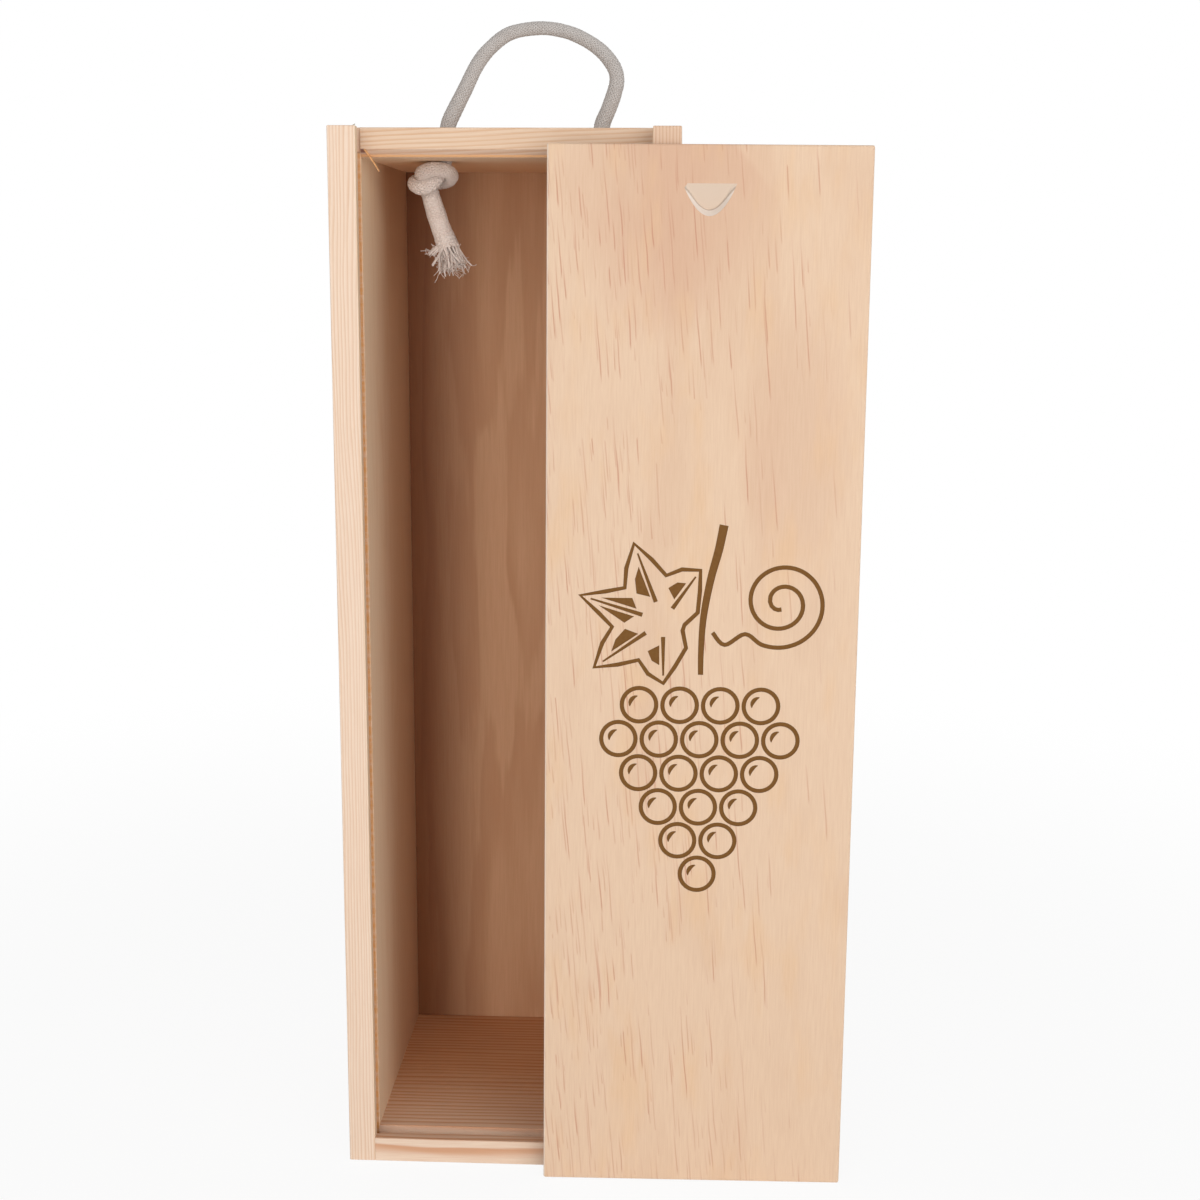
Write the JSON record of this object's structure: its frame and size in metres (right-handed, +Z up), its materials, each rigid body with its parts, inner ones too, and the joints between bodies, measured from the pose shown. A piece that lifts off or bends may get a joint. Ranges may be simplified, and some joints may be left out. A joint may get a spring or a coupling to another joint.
{
  "type": "wooden wine box",
  "caption": "Upright pine box for one bottle, open at the front, with a lid that slides in side grooves and a knotted cotton rope handle on its top end.",
  "frame": {"origin": "middle of the case's underside, where it stands", "axes": "+Z up to the rope handle, -Y out of the open front, +X to the right seen from the front"},
  "size_m": [0.1703, 0.117, 0.386],
  "materials": {
    "pine": "planed pine, unfinished",
    "lid_pine": "sanded plain-sawn pine, unfinished",
    "rope": "soft braided cotton",
    "brads": "plain steel"
  },
  "bodies": {
    "case": {"left_side_board": "pine", "right_side_board": "pine", "top_end_board": "pine", "bottom_end_board": "pine", "back_panel": "pine", "left_rope_run": "rope", "right_rope_run": "rope", "left_rope_knot": "rope", "right_rope_knot": "rope", "left_rope_tail": "rope", "right_rope_tail": "rope", "left_corner_brads": "brads", "right_corner_brads": "brads", "left_back_brads": "brads", "right_back_brads": "brads", "end_back_brads": "brads"},
    "lid": {"lid_panel": "lid_pine"},
    "handle": {"rope_loop": "rope"}
  },
  "joints": [
    {"name": "lid_slide", "type": "slide", "parent": "case", "child": "lid", "axis": [0, 0, 1], "range_m": [0, 0.344]},
    {"name": "handle_swing", "type": "hinge", "parent": "case", "child": "handle", "pos_m": [0.0035, -0.02, 0.3529], "axis": [1, 0, 0], "range_deg": [-80, 80]}
  ]
}
